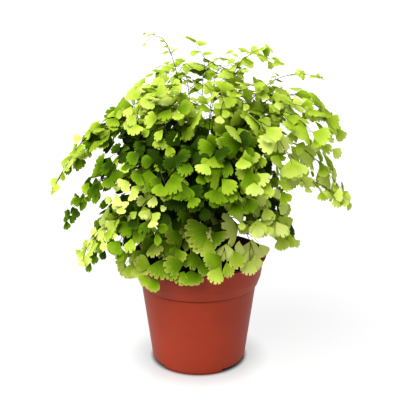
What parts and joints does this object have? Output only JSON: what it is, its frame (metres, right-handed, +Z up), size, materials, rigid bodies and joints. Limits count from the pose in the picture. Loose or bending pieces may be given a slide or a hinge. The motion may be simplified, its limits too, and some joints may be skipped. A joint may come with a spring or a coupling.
{
  "type": "potted maidenhair fern",
  "caption": "Bushy maidenhair fern with arching fronds of small fan-shaped leaflets on thin dark stalks, growing in a plastic nursery pot.",
  "frame": {"origin": "centre of the circle that the pot's foot stands on, on the ground, which is also the bottom centre of the plant's bounding box", "axes": "+Z up along the pot's axis; -Y is the front, the side that the low large-leaved fronds hang over; +X is to the right of a viewer in front"},
  "size_m": [0.2504, 0.1782, 0.2836],
  "materials": {
    "pot_plastic": "satin",
    "soil": "matte",
    "stalk": "satin",
    "leaf": "satin"
  },
  "bodies": {
    "root": {"pot": "pot_plastic", "soil": "soil", "crown": "stalk", "frond_01": "leaf", "frond_02": "leaf", "frond_03": "leaf", "frond_04": "leaf", "frond_05": "leaf", "frond_06": "leaf", "frond_07": "leaf", "frond_08": "leaf", "frond_09": "leaf", "frond_10": "leaf", "frond_11": "leaf", "frond_12": "leaf", "frond_13": "leaf", "frond_14": "leaf", "frond_15": "leaf", "frond_16": "leaf", "frond_17": "leaf", "frond_18": "leaf", "frond_19": "leaf", "frond_20": "leaf", "frond_21": "leaf", "frond_22": "leaf", "frond_23": "leaf", "frond_24": "leaf", "frond_25": "leaf", "frond_26": "leaf", "frond_27": "leaf", "frond_28": "leaf", "frond_29": "leaf", "frond_30": "leaf", "frond_31": "leaf", "frond_32": "leaf", "frond_33": "leaf", "frond_34": "leaf", "frond_35": "leaf", "frond_36": "leaf", "frond_37": "leaf", "frond_38": "leaf", "frond_39": "leaf", "frond_40": "leaf", "frond_41": "leaf", "frond_42": "leaf", "frond_43": "leaf", "frond_44": "leaf", "frond_45": "leaf", "frond_46": "leaf", "frond_47": "leaf", "frond_48": "leaf", "frond_49": "leaf", "frond_50": "leaf", "frond_51": "leaf", "frond_52": "leaf", "frond_53": "leaf", "frond_54": "leaf", "frond_55": "leaf", "frond_56": "leaf", "frond_57": "leaf"}
  },
  "joints": []
}
